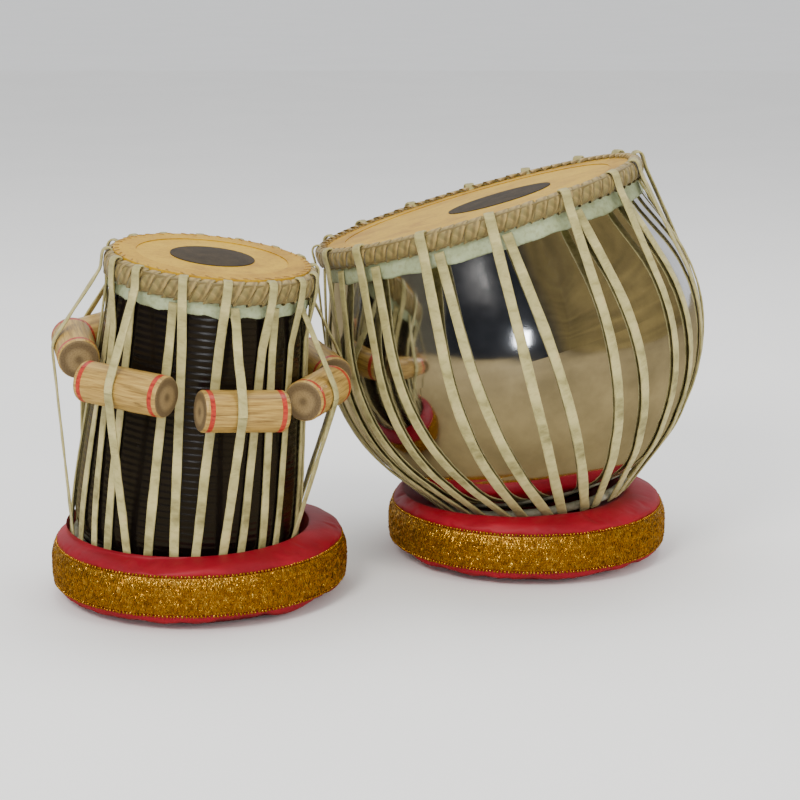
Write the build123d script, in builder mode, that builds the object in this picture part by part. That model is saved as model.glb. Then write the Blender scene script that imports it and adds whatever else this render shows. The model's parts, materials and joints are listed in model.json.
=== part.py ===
from build123d import *

# A tabla: a small wooden drum and a large metal kettle drum, each on a ring cushion.
#
# Frame: +Z up, +X from the small drum to the large one, -Y towards the player's side.
# The origin is on the floor, at the centre of the pair's outline. Millimetres.
# Along a drum's own axis, "depth" is the distance below its playing skin.
# An "azimuth" goes round a drum, from its front (-Y) towards its right (+X).

from dataclasses import dataclass
from math import acos, atan2, cos, degrees, hypot, pi, radians, sin, sqrt, tan
import os

os.makedirs("parts", exist_ok=True)

# ---------------------------------------------------------------- driving dimensions
HOLES = 16                  # lacing holes round each head
STRAP_THICKNESS = 1.8
STRAP_GAP = 0.6             # between a strap and the wall behind it
CLEARANCE = 0.4             # between pieces of different bodies
SKIN = 0.6                  # thickness of one layer of skin
LAYER_GAP = 0.05
RIM_DEPTH = 1.95            # depth of a shell's rim, under three layers of skin

# the small wooden drum
SMALL_HEAD = (-131.5, -81.0, 266.3)
SMALL_LEAN = (7.1, 2.7)     # degrees to the right, and towards the front
SMALL_HEIGHT = 245.0
SMALL_BELLY = (87.2, 200.0)         # radius, depth
SMALL_BASE_RADIUS = 64.0
SMALL_STRAP_WIDTH = 7.0

# the large metal drum
LARGE_HEAD = (73.5, 43.9, 289.7)
LARGE_LEAN = (-16.3, -2.1)
LARGE_BELLY = (154.3, 110.6)
LARGE_BELLY_SEMI_HEIGHT = 145.2     # the kettle below its belly is half an ellipse
LARGE_WALL = 1.8
LARGE_STRAP_WIDTH = 8.0
LARGE_RING_LEAN = (-8.0, -1.0)
LARGE_RING_DROP = 135.0             # from the belly's centre to the bottom ring's plane
LARGE_RING_RADIUS = 75.0
LARGE_RING_THICKNESS = 7.0

# the tuning dowels wedged under the small drum's straps:
# azimuth, depth, tilt in degrees, length
DOWEL_DIAMETER = 31.0
DOWELS = [
    (-29.0, 88.0, -4.0, 74.0),
    (23.5, 93.0, 0.0, 66.0),
    (70.0, 88.0, 0.0, 62.0),
    (113.0, 86.0, 0.0, 62.0),
    (157.0, 88.0, 3.0, 60.0),
    (201.5, 86.0, -2.0, 60.0),
    (244.0, 83.0, 0.0, 60.0),
    (284.5, 78.0, 2.0, 60.0),
]

# the ring cushions
CUSHION_OUTER = 114.4
CUSHION_WIDTH = 56.2
CUSHION_HEIGHT = 52.0
CUSHION_CORNER = 21.0
COVER = 1.5
GORES = 12                  # panels sewn side by side into a cover
SEAM = 0.1
TRIM = 0.7
TRIM_LOW, TRIM_HIGH = 14.5, 42.0
BEAD_DIAMETER = 1.8
SMALL_CUSHION = (-146.8, -71.0, 0.0)
LARGE_CUSHION = (117.0, 35.6, 0.0)


# ---------------------------------------------------------------- frames and curves
def leaning_plane(centre, lean):
    """The plane across an axis that leans by (right, front) degrees."""
    up = Vector(tan(radians(lean[0])), -tan(radians(lean[1])), 1).normalized()
    right = (Vector(1, 0, 0) - up * up.X).normalized()
    return Plane(origin=centre, x_dir=right, z_dir=up)


def outward(plane, azimuth):
    """The direction straight out from the axis at an azimuth."""
    a = radians(azimuth)
    return plane.x_dir * sin(a) - plane.y_dir * cos(a)


def point_on(plane, radius, azimuth, depth):
    return plane.origin + outward(plane, azimuth) * radius - plane.z_dir * depth


def section(plane, azimuth=90.0):
    """The half plane through the axis: x is the radius, y is minus the depth."""
    out = outward(plane, azimuth)
    return Plane(origin=plane.origin, x_dir=out, z_dir=out.cross(plane.z_dir))


def axis_of(plane):
    return Axis(plane.origin, plane.z_dir)


def arc_points(centre, radius, start, stop, steps):
    """Points on a circle, with angles in degrees, as (radius, depth) pairs."""
    angles = [radians(start + (stop - start) * i / steps) for i in range(steps + 1)]
    return [(centre[0] + radius * cos(a), centre[1] + radius * sin(a)) for a in angles]


def flipped(points):
    """(radius, depth) pairs as sketch points of a section plane."""
    return [(r, -d) for r, d in points]


@dataclass
class Drum:
    """What the head's pieces and the lacing need to know about a shell."""

    name: str
    plane: Plane
    rim_radius: float
    collar_slope: float
    skirt_depth: float
    edge_skin_inner: float
    spot_radius: float
    spot_offset: tuple
    plait_outer: float
    plait_top: float
    plait_bottom: float
    strap_width: float
    ring_plane: Plane
    ring_radius: float
    ring_thickness: float

    def collar(self, depth, offset=0.0):
        """The radius of the shell's collar at a depth, plus an offset."""
        return self.rim_radius + self.collar_slope * (depth - RIM_DEPTH) + offset


# ---------------------------------------------------------------- shells
def circle_through(a, b, c):
    """Centre and radius of the circle through three (radius, depth) points."""
    (ax, ay), (bx, by), (cx, cy) = a, b, c
    d = 2 * (ax * (by - cy) + bx * (cy - ay) + cx * (ay - by))
    a2, b2, c2 = ax * ax + ay * ay, bx * bx + by * by, cx * cx + cy * cy
    x = (a2 * (by - cy) + b2 * (cy - ay) + c2 * (ay - by)) / d
    y = (a2 * (cx - bx) + b2 * (ax - cx) + c2 * (bx - ax)) / d
    return (x, y), hypot(ax - x, ay - y)


def on_arc(points, depth):
    """The radius of the drum where an arc through three points passes a depth."""
    (x, y), radius = circle_through(*points)
    return x + sqrt(radius**2 - (depth - y) ** 2)


def small_wall(depth):
    """The outer radius of the wooden shell above its belly."""
    if depth <= SMALL_SWELL[0][1]:
        return SMALL.collar(depth)
    return on_arc(SMALL_SWELL, depth)


def large_wall(depth):
    """The outer radius of the kettle above its belly: a collar, then a long flare."""
    collar_end = 22.0
    if depth <= collar_end:
        return LARGE.collar(depth)
    share = (depth - collar_end) / (LARGE_BELLY[1] - collar_end)
    start = LARGE.collar(collar_end)
    return start + (LARGE_BELLY[0] - start) * sin(share * pi / 2) ** 1.15


def large_bowl(depth, offset=0.0):
    """The kettle's outer radius below its belly."""
    if depth >= LARGE_BASE[0][1]:
        return on_arc(LARGE_BASE, depth)
    share = (depth - LARGE_BELLY[1]) / (LARGE_BELLY_SEMI_HEIGHT + offset)
    return (LARGE_BELLY[0] + offset) * sqrt(max(0.0, 1 - share * share))


def small_shell():
    """The turned wooden shell: hollow from the top, with a solid bottom."""
    top_of_wall = (SMALL.rim_radius, RIM_DEPTH)
    bore = [(58.0, 168.0), (61.0, RIM_DEPTH)]
    with BuildPart() as shell:
        with BuildSketch(Plane.XZ):
            with BuildLine():
                Line((0, -SMALL_HEIGHT), (SMALL_BASE_RADIUS, -SMALL_HEIGHT))
                ThreePointArc(*flipped(SMALL_BASE[::-1]))
                ThreePointArc(*flipped(SMALL_SWELL[::-1]))
                Polyline(*flipped([SMALL_SWELL[0], top_of_wall, bore[1], bore[0]]))
                Polyline(*flipped([bore[0], (40.0, 190.0), (0, 196.0), (0, SMALL_HEIGHT)]))
            make_face()
        revolve(axis=Axis.Z)
    return SMALL.plane.location * shell.part


def large_shell():
    """The thin spun kettle, with its rim rolled inwards."""
    rim, foot = LARGE.rim_radius, LARGE_BASE[2]
    flare_depths = (22.0, 38.0, 56.0, 76.0, 94.0, LARGE_BELLY[1])
    bowl_depths = (LARGE_BELLY[1], 130.0, 150.0, 168.0, 184.0)
    flare = [(large_wall(d), d) for d in flare_depths]
    bowl = [(large_bowl(d), d) for d in bowl_depths] + [LARGE_BASE[0]]
    inner_flare = [(r - LARGE_WALL, d) for r, d in flare]
    inner_end = LARGE_BASE[0][1] - 1
    inner_bowl = [(large_bowl(d, -LARGE_WALL), d) for d in (*bowl_depths, inner_end)]
    rolled_rim = [
        (rim, RIM_DEPTH),
        (rim - 6, RIM_DEPTH),
        (rim - 6, RIM_DEPTH + 6),
        (rim - LARGE_WALL, 9.0),
    ]
    with BuildPart() as shell:
        with BuildSketch(section(LARGE.plane)):
            with BuildLine():
                Line((0, -247.5), (foot[0], -foot[1]))
                ThreePointArc(*flipped(LARGE_BASE[::-1]))
                Spline(*flipped(bowl[::-1]))
                Spline(*flipped(flare[::-1]))
                Polyline(*flipped([flare[0], *rolled_rim, inner_flare[0]]))
                Spline(*flipped(inner_flare))
                Spline(*flipped(inner_bowl))
                ThreePointArc(*flipped([inner_bowl[-1], (91.0, 228.2), (46.0, 244.7)]))
                Polyline((46.0, -244.7), (0, -245.7), (0, -247.5))
            make_face()
        revolve(axis=axis_of(LARGE.plane))
    return shell.part


# ---------------------------------------------------------------- heads
def ring_piece(drum, outline):
    """A closed outline of (radius, depth) corners, turned about the drum's axis."""
    with BuildPart() as piece:
        with BuildSketch(section(drum.plane)):
            with BuildLine():
                Polyline(*flipped(outline), close=True)
            make_face()
        revolve(axis=axis_of(drum.plane))
    return piece.part


def folded_skin(drum, top, inner, side_offset, bottom):
    """A skin that lies on the rim from an inner radius and folds down outside the collar."""
    low = side_offset + SKIN
    outline = [
        (inner, top),
        (drum.collar(top, low), top),
        (drum.collar(bottom, low), bottom),
        (drum.collar(bottom, side_offset), bottom),
        (drum.collar(top + SKIN, side_offset), top + SKIN),
        (inner, top + SKIN),
    ]
    return ring_piece(drum, outline)


def tuning_spot(drum):
    """The round patch of black paste, thickest at its middle."""
    x, y = drum.spot_offset
    middle = drum.plane.origin + drum.plane.x_dir * x + drum.plane.y_dir * y
    spot_plane = Plane(origin=middle, x_dir=drum.plane.x_dir, z_dir=drum.plane.z_dir)
    radius, bottom = drum.spot_radius, -(SKIN + LAYER_GAP)
    with BuildPart() as spot:
        with BuildSketch(section(spot_plane)):
            with BuildLine():
                Polyline((0, 1.0), (0, bottom), (radius, bottom), (radius, bottom + 0.6))
                Spline((radius, bottom + 0.6), (radius * 0.6, 0.75), (0, 1.0))
            make_face()
        revolve(axis=axis_of(spot_plane))
    return spot.part


def plait_outline(drum, inset):
    """The plait's section, slanted inside like the collar and rounded outside."""
    top, bottom = drum.plait_top + inset, drum.plait_bottom - inset
    inner = 3 * SKIN + 4 * LAYER_GAP + 0.15 + inset
    outer = drum.plait_outer - inset
    corner = 2.8 - inset * 1.2
    round_top = arc_points((outer - corner, top + corner), corner, -90, 0, 4)
    round_low = arc_points((outer - corner, bottom - corner), corner, 0, 90, 4)
    inside = [(drum.collar(bottom, inner), bottom), (drum.collar(top, inner), top)]
    return round_top + round_low + inside


def plait(drum, core):
    with BuildPart() as wrap:
        with BuildSketch(section(drum.plane)):
            with BuildLine():
                Polyline(*flipped(plait_outline(drum, 0.0)), close=True)
            make_face()
        revolve(axis=axis_of(drum.plane))
        add(core, mode=Mode.SUBTRACT)
    return wrap.part


def bottom_ring(drum):
    """The leather ring under the shell that every strap is looped through."""
    thick = drum.ring_thickness / 2
    with BuildPart() as ring:
        with BuildSketch(section(drum.ring_plane)):
            with Locations((drum.ring_radius, 0)):
                Circle(thick)
        revolve(axis=axis_of(drum.ring_plane))
    return ring.part


# ---------------------------------------------------------------- lacing
@dataclass
class Pass:
    """One strap's way from a hole to the bottom ring, lying in one plane.

    In the frame, x is straight out at the pass's middle azimuth and y runs up the strap.
    """

    frame: Plane
    side_top: float
    slope: float
    foot: tuple

    def side(self, drum, depth):
        """How far the strap is sideways of the drum's axis at a depth."""
        return self.side_top + self.slope * (depth - drum.plait_bottom)

    def at(self, drum, radius, depth):
        """Where the strap's inner side goes to clear a wall with both its edges."""
        side = self.side(drum, depth)
        lift = drum.strap_width / 2 * abs(side) / radius
        return sqrt((radius + lift) ** 2 - side**2), depth

    def stretched(self, points):
        """(radius, depth) points as points of the slanting plane."""
        return [(r, d * hypot(1, self.slope)) for r, d in points]


def lay_pass(drum, top_azimuth, foot):
    """The pass between an azimuth at the plait and a point of the bottom ring."""
    plane = drum.plane
    down = foot - plane.origin
    foot_depth = -down.dot(plane.z_dir)
    foot_out = down + plane.z_dir * foot_depth
    foot_azimuth = degrees(atan2(foot_out.dot(plane.x_dir), -foot_out.dot(plane.y_dir)))
    turn = (foot_azimuth - top_azimuth + 180) % 360 - 180
    out = outward(plane, top_azimuth + turn / 2)
    along = plane.z_dir.cross(out)
    side_top = drum.plait_outer * sin(radians(-turn / 2))
    side_foot = foot_out.length * sin(radians(turn / 2))
    slope = (side_foot - side_top) / (foot_depth - drum.plait_bottom)
    up = (plane.z_dir - along * slope).normalized()
    start = plane.origin + along * (side_top - slope * drum.plait_bottom)
    frame = Plane(origin=start, x_dir=out, z_dir=out.cross(up))
    return Pass(frame, side_top, slope, (foot_out.length, foot_depth))


def strap(drum, lace, route):
    """A band of even thickness along a route of (radius, depth) points on its inner side."""
    inner = [Vector(r, -d) for r, d in lace.stretched(route)]
    ways = [(b - a).normalized() for a, b in zip(inner, inner[1:])]
    outer = []
    for i, point in enumerate(inner):
        before, after = ways[max(i - 1, 0)], ways[min(i, len(ways) - 1)]
        mean = (before + after).normalized()
        reach = STRAP_THICKNESS / mean.dot(before)
        outer.append(point + Vector(-mean.Y, mean.X) * reach)
    with BuildPart() as band:
        with BuildSketch(lace.frame):
            with BuildLine():
                Polyline(*[(p.X, p.Y) for p in inner + outer[::-1]], close=True)
            make_face()
        extrude(amount=drum.strap_width / 2, both=True)
    return band.part


def over_start(drum, lace):
    """Over the plait: out of the hole at its top, round its shoulder and down its face."""
    corner = 3.0
    edge_drop = drum.strap_width / 2 * abs(lace.slope)
    outer, top = drum.plait_outer + 0.3, drum.plait_top - 0.3 - edge_drop
    shoulder = arc_points((outer - corner, top + corner), corner, -90, 0, 3)
    points = [(drum.collar(top, 3.5), top), *shoulder, (outer, drum.plait_bottom - 3.0)]
    return [lace.at(drum, radius, depth) for radius, depth in points]


def under_start(drum, lace):
    """From under the plait's lower edge."""
    depth = drum.plait_bottom + 2.2
    return [lace.at(drum, drum.collar(depth, 2 * SKIN + 0.7), depth)]


def foot_end(drum, lace):
    """Round the outside of the bottom ring."""
    radius, depth = lace.foot
    tube = drum.ring_thickness / 2 + 0.3
    return [lace.at(drum, r, d) for r, d in arc_points((radius, depth), tube, -15, 80, 4)]


def convex(points):
    """Only the points that a strap pulled tight round the outside would touch."""
    kept = []
    for p in points:
        while len(kept) > 1:
            a, b = kept[-2], kept[-1]
            cross = (b[0] - a[0]) * (p[1] - a[1]) - (b[1] - a[1]) * (p[0] - a[0])
            if cross > 0:
                break
            kept.pop()
        kept.append(p)
    return kept


def small_route(lace, start):
    """Down the wooden shell to the bottom ring."""
    depths = (52.0, 100.0, 150.0, 168.0, 184.0, SMALL_BELLY[1])
    wall = [lace.at(SMALL, small_wall(depth) + STRAP_GAP, depth) for depth in depths]
    return start + wall + foot_end(SMALL, lace)


def large_route(lace, start):
    """Down the kettle to the bottom ring, pulled straight across the neck."""
    depths = [62.0, 78.0, 94.0] + [LARGE_BELLY[1] + 132.0 * sin(radians(6 * i)) for i in range(13)]
    wall = []
    for depth in depths:
        if depth < lace.foot[1] - 8:
            radius = large_bowl(depth) if depth > LARGE_BELLY[1] else large_wall(depth)
            wall.append(lace.at(LARGE, radius + STRAP_GAP, depth))
    return start[:-1] + convex(start[-1:] + wall + foot_end(LARGE, lace))


def small_foot(azimuth):
    """The point of the small drum's bottom ring at an azimuth."""
    return point_on(SMALL.plane, SMALL.ring_radius, azimuth, SMALL_RING_DEPTH)


def large_foot(azimuth):
    """The point of the large drum's bottom ring at an azimuth round that ring."""
    return point_on(LARGE.ring_plane, LARGE.ring_radius, azimuth, 0)


def dowel_route(lace, start, dowel):
    """From the plait, out over a dowel and in to the bottom ring."""
    frame = lace.frame
    centre, direction = dowel_axis(dowel)
    offset = (frame.origin - centre).dot(frame.z_dir) / direction.dot(frame.z_dir)
    crossing = frame.to_local_coords(centre + direction * offset)
    middle = (crossing.X, -crossing.Y / hypot(1, lace.slope))
    radius = DOWEL_DIAMETER / 2 / abs(direction.dot(frame.z_dir)) + 2 * CLEARANCE
    end = foot_end(SMALL, lace)
    enter = tangent_angle(start[-1], middle, radius, 1)
    leave = tangent_angle(end[0], middle, radius, -1)
    return start + arc_points(middle, radius, enter, leave, 8) + end


def tangent_angle(point, middle, radius, side):
    """Where a line from a point touches the outside of a circle, in degrees."""
    dx, dy = point[0] - middle[0], point[1] - middle[1]
    spread = degrees(acos(radius / hypot(dx, dy)))
    return degrees(atan2(dy, dx)) + side * spread


# ---------------------------------------------------------------- tuning dowels
def dowel_axis(dowel):
    """The middle of a dowel and the direction it points in."""
    azimuth, depth, tilt, _ = dowel
    stand_off = STRAP_GAP + STRAP_THICKNESS + CLEARANCE
    slant = atan2(SMALL.collar_slope, 1)
    radius = small_wall(depth) + (stand_off + DOWEL_DIAMETER / 2) / cos(slant)
    along = SMALL.plane.z_dir.cross(outward(SMALL.plane, azimuth))
    direction = (along * cos(radians(tilt)) - SMALL.plane.z_dir * sin(radians(tilt))).normalized()
    return point_on(SMALL.plane, radius, azimuth, depth), direction


def tuning_dowel(dowel):
    """A turned hardwood dowel with softened ends."""
    centre, direction = dowel_axis(dowel)
    length = dowel[3]
    with BuildPart() as peg:
        with BuildSketch(Plane(origin=centre - direction * (length / 2), z_dir=direction)):
            Circle(DOWEL_DIAMETER / 2)
        extrude(amount=length)
        fillet(peg.edges().filter_by(GeomType.CIRCLE), radius=2.0)
    return peg.part


# ---------------------------------------------------------------- ring cushions
def cushion_solid(centre, inset, seat):
    """A ring of rounded section on the floor, hollowed where the drum sits in it."""
    place = Plane(origin=centre, x_dir=(1, 0, 0), z_dir=(0, 0, 1))
    middle = CUSHION_OUTER - CUSHION_WIDTH / 2
    size = (CUSHION_WIDTH - 2 * inset, CUSHION_HEIGHT - 2 * inset)
    with BuildPart() as ring:
        with BuildSketch(section(place)):
            with Locations((middle, CUSHION_HEIGHT / 2)):
                RectangleRounded(*size, CUSHION_CORNER - inset)
        revolve(axis=axis_of(place))
        add(seat, mode=Mode.SUBTRACT)
    return ring.part


def small_seat(gap):
    """The room that the wooden drum's base, ring and straps turn in."""
    ring_clear = SMALL.ring_thickness / 2 + 0.8 + STRAP_THICKNESS + gap
    round_ring = arc_points((SMALL.ring_radius, SMALL_RING_DEPTH), ring_clear, 0, 90, 4)
    dowel_strap = (SMALL.ring_radius + ring_clear + 7.0, 196.0)
    base = SMALL_HEIGHT + gap
    above = [(0, 150), (dowel_strap[0], 150), dowel_strap]
    below = [(SMALL_BASE_RADIUS + 2, base), (0, base)]
    return ring_piece(SMALL, above + round_ring + below)


def large_seat(gap):
    """A ball socket about the belly's centre, so that the kettle can be tilted in it."""
    reach = hypot(LARGE_RING_DROP, LARGE_RING_RADIUS) + LARGE_RING_THICKNESS / 2
    with BuildPart() as ball:
        with Locations(Location(BELLY_CENTRE)):
            Sphere(reach + 1.1 + STRAP_THICKNESS + gap)
    return ball.part


def cushion_trim(centre):
    """The woven metallic band round the outside of a cushion."""
    place = Plane(origin=centre, x_dir=(1, 0, 0), z_dir=(0, 0, 1))
    middle = CUSHION_OUTER - CUSHION_WIDTH / 2
    size = (CUSHION_WIDTH + 2 * TRIM, CUSHION_HEIGHT + 2 * TRIM)
    gap = 0.05
    hole = (CUSHION_WIDTH + 2 * gap, CUSHION_HEIGHT + 2 * gap)
    with BuildPart() as band:
        with BuildSketch(section(place)):
            with Locations((middle, CUSHION_HEIGHT / 2)):
                RectangleRounded(*size, CUSHION_CORNER + TRIM)
                RectangleRounded(*hole, CUSHION_CORNER + gap, mode=Mode.SUBTRACT)
            with Locations((CUSHION_OUTER, (TRIM_LOW + TRIM_HIGH) / 2)):
                Rectangle(2 * CUSHION_CORNER, TRIM_HIGH - TRIM_LOW, mode=Mode.INTERSECT)
        revolve(axis=axis_of(place))
    return band.part


def trim_edges(centre):
    """The two beaded cords along the trim's edges."""
    place = Plane(origin=centre, x_dir=(1, 0, 0), z_dir=(0, 0, 1))
    corner_x = CUSHION_OUTER - CUSHION_CORNER
    reach = CUSHION_CORNER + BEAD_DIAMETER / 2 + 0.1
    with BuildPart() as cords:
        with BuildSketch(section(place)):
            for height in (TRIM_LOW - 1.2, TRIM_HIGH + 1.2):
                low = height < CUSHION_HEIGHT / 2
                corner_z = CUSHION_CORNER if low else CUSHION_HEIGHT - CUSHION_CORNER
                rise = height - corner_z
                with Locations((corner_x + sqrt(reach**2 - rise**2), height)):
                    Circle(BEAD_DIAMETER / 2)
        revolve(axis=axis_of(place))
    return cords.part


# ---------------------------------------------------------------- the two drums
SMALL_SWELL = [(84.65, 150.0), (86.4, 176.0), SMALL_BELLY]
SMALL_BASE = [SMALL_BELLY, (80.8, 226.0), (SMALL_BASE_RADIUS, SMALL_HEIGHT)]
LARGE_BASE = [(121.6, 200.0), (92.0, 229.5), (46.0, 246.5)]
SMALL_RING_DEPTH = 229.0
SMALL_PLANE = leaning_plane(SMALL_HEAD, SMALL_LEAN)
SMALL = Drum(
    name="dayan", plane=SMALL_PLANE, rim_radius=73.4, collar_slope=0.076, skirt_depth=27.5,
    edge_skin_inner=58.0, spot_radius=32.2, spot_offset=(0.0, 0.0),
    plait_outer=81.6, plait_top=1.5, plait_bottom=19.5, strap_width=SMALL_STRAP_WIDTH,
    ring_plane=leaning_plane(point_on(SMALL_PLANE, 0, 0, SMALL_RING_DEPTH), SMALL_LEAN),
    ring_radius=83.8, ring_thickness=7.0,
)
LARGE_PLANE = leaning_plane(LARGE_HEAD, LARGE_LEAN)
BELLY_CENTRE = point_on(LARGE_PLANE, 0, 0, LARGE_BELLY[1])
RING_TILT = leaning_plane(BELLY_CENTRE, LARGE_RING_LEAN)
LARGE = Drum(
    name="bayan", plane=LARGE_PLANE, rim_radius=130.0, collar_slope=0.07, skirt_depth=24.5,
    edge_skin_inner=112.0, spot_radius=43.0, spot_offset=(18.9, -5.0),
    plait_outer=138.4, plait_top=-3.0, plait_bottom=13.0, strap_width=LARGE_STRAP_WIDTH,
    ring_plane=leaning_plane(point_on(RING_TILT, 0, 0, LARGE_RING_DROP), LARGE_RING_LEAN),
    ring_radius=LARGE_RING_RADIUS, ring_thickness=LARGE_RING_THICKNESS,
)

# hand-cut holes sit a little off their even spacing
SMALL_HOLES = [-36, -9, 13, 38, 60, 80, 102, 124, 146, 169, 192, 214, 237, 259, 281, 303]
LARGE_HOLES = [-46, -21, 2, 28, 51, 70, 91, 114, 137, 160, 182, 205, 228, 250, 272, 294]
# the loops round the bottom ring, and half the angle between the two straps of a loop
SMALL_LOOPS, SMALL_SPREAD = [-16.9 + 22.5 * i for i in range(HOLES)], 4.5
LARGE_LOOPS, LARGE_SPREAD = [-13.0 + 22.5 * i for i in range(HOLES)], 4.0
# the holes whose strap over the plait goes on to the right; elsewhere it goes to the left
OVER_GOES_RIGHT = (0, 1, 12, 13, 14, 15)
# for each dowel, the hole that its strap comes from
DOWEL_HOLES = [0, 2, 4, 6, 8, 10, 12, 14]


def save(part, node):
    part.label = node
    export_step(part, f"parts/{node}.step")


def head_pieces(drum):
    """Everything that is stretched over a shell's mouth."""
    main_top = SKIN + LAYER_GAP
    lining_top = main_top + SKIN + LAYER_GAP
    side = [LAYER_GAP + i * (SKIN + LAYER_GAP) for i in range(3)]
    save(folded_skin(drum, lining_top, drum.rim_radius - 14, side[0], 12.0), f"{drum.name}_lining_skin")
    save(folded_skin(drum, main_top, 0.0, side[1], drum.skirt_depth), f"{drum.name}_main_skin")
    save(folded_skin(drum, 0.0, drum.edge_skin_inner, side[2], 12.0), f"{drum.name}_edge_skin")
    save(tuning_spot(drum), f"{drum.name}_tuning_spot")
    core = ring_piece(drum, plait_outline(drum, 1.5))
    save(core, f"{drum.name}_plait_core")
    save(plait(drum, core), f"{drum.name}_plait")
    save(bottom_ring(drum), f"{drum.name}_bottom_ring")


def small_straps(i):
    """The two straps of a hole: where each starts, its pass and whether it goes right."""
    over_right = i in OVER_GOES_RIGHT
    hole = SMALL_HOLES[i]
    right_foot = small_foot(SMALL_LOOPS[i] - SMALL_SPREAD)
    left_foot = small_foot(SMALL_LOOPS[i - 1] + SMALL_SPREAD)
    over = lay_pass(SMALL, hole, right_foot if over_right else left_foot)
    beside = hole - 5.7 if over_right else hole + 5.7
    under = lay_pass(SMALL, beside, left_foot if over_right else right_foot)
    return [
        (over_start(SMALL, over), over, over_right),
        (under_start(SMALL, under), under, not over_right),
    ]


def small_lacing():
    """Two straps from every hole; the one that goes right lies over a dowel where there is one."""
    layers = ([], [])
    for i in range(HOLES):
        for layer, (start, lace, goes_right) in zip(layers, small_straps(i)):
            if goes_right and i in DOWEL_HOLES:
                number = DOWEL_HOLES.index(i)
                route = dowel_route(lace, start, DOWELS[number])
                save(strap(SMALL, lace, route), f"dayan_dowel_strap_{number + 1}")
            else:
                layer.append(strap(SMALL, lace, small_route(lace, start)))
    save(Compound(children=layers[0]), "dayan_over_straps")
    save(Compound(children=layers[1]), "dayan_under_straps")


def large_lacing():
    """From every hole, a strap over the plait goes left and one from under it goes right."""
    over_straps, under_straps = [], []
    for i, hole in enumerate(LARGE_HOLES):
        over = lay_pass(LARGE, hole, large_foot(LARGE_LOOPS[i - 1] + LARGE_SPREAD))
        under = lay_pass(LARGE, hole + 4.2, large_foot(LARGE_LOOPS[i] - LARGE_SPREAD))
        over_straps.append(strap(LARGE, over, large_route(over, over_start(LARGE, over))))
        under_straps.append(strap(LARGE, under, large_route(under, under_start(LARGE, under))))
    save(Compound(children=over_straps), "bayan_over_straps")
    save(Compound(children=under_straps), "bayan_under_straps")


def gore(cover, centre, turn):
    """One of the equal panels that a cushion's cover is sewn from."""
    reach = CUSHION_OUTER / cos(pi / GORES) + 1
    half_chord = reach * sin(pi / GORES) - SEAM / 2
    out = Vector(1, 0, 0).rotate(Axis.Z, turn)
    with BuildPart() as panel:
        with BuildSketch(Plane(origin=centre, x_dir=out, z_dir=(0, 0, 1))):
            Polygon((SEAM, 0), (reach, -half_chord), (reach, half_chord), align=None)
        extrude(amount=CUSHION_HEIGHT)
        add(cover, mode=Mode.INTERSECT)
    return panel.part


def cushion_pieces(name, centre, seat):
    filling = cushion_solid(centre, COVER, seat(CLEARANCE + COVER))
    body = cushion_solid(centre, 0.0, seat(CLEARANCE))
    with BuildPart() as cover:
        add(body)
        add(filling, mode=Mode.SUBTRACT)
    save(filling, f"{name}_filling")
    panels = [gore(cover.part, centre, 360 / GORES * i) for i in range(GORES)]
    pieces = [solid for panel in panels for solid in panel.solids()]
    save(Compound(children=pieces), f"{name}_cover")
    save(cushion_trim(centre), f"{name}_trim")
    save(trim_edges(centre), f"{name}_trim_edges")


def main():
    save(small_shell(), "dayan_shell")
    save(large_shell(), "bayan_shell")
    head_pieces(SMALL)
    head_pieces(LARGE)
    small_lacing()
    large_lacing()
    for number, dowel in enumerate(DOWELS, start=1):
        save(tuning_dowel(dowel), f"tuning_dowel_{number}")
    cushion_pieces("dayan_cushion", SMALL_CUSHION, small_seat)
    cushion_pieces("bayan_cushion", LARGE_CUSHION, large_seat)


main()
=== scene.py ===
import json
from math import cos, pi, radians, sin, sqrt, tan

import bpy
import numpy as np
from mathutils import Matrix, Vector


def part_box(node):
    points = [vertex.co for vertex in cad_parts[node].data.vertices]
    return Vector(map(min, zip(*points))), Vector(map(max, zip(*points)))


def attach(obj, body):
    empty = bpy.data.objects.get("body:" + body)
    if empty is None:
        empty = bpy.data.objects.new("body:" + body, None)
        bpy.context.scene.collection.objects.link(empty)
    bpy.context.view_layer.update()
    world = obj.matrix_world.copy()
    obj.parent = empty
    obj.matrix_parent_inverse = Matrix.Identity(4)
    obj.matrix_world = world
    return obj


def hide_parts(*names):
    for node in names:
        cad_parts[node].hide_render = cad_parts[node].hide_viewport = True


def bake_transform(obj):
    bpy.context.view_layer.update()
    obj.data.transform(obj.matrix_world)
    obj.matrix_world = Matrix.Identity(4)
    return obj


# The tabla's looks over its CAD model: leather lacing, plaited hoops, satin and gold trim.
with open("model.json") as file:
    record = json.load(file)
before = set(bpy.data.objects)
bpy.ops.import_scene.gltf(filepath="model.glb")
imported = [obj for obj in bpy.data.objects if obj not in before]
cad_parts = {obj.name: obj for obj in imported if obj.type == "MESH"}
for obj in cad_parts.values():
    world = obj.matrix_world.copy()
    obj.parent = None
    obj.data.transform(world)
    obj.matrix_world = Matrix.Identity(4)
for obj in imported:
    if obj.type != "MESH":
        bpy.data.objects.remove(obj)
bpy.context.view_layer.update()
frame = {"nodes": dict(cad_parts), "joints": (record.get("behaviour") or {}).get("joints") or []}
nodes = frame["nodes"]
rng = np.random.default_rng(7)

MM = 0.001

# sizes that the CAD model has too; RIM_DEPTH is where a shell's rim is, below its head
RIM_DEPTH = 1.95 * MM
STRAP_THICKNESS = 1.8 * MM
DOWEL_RADIUS = 15.5 * MM
DOWEL_NUMBERS = range(1, 9)


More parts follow.
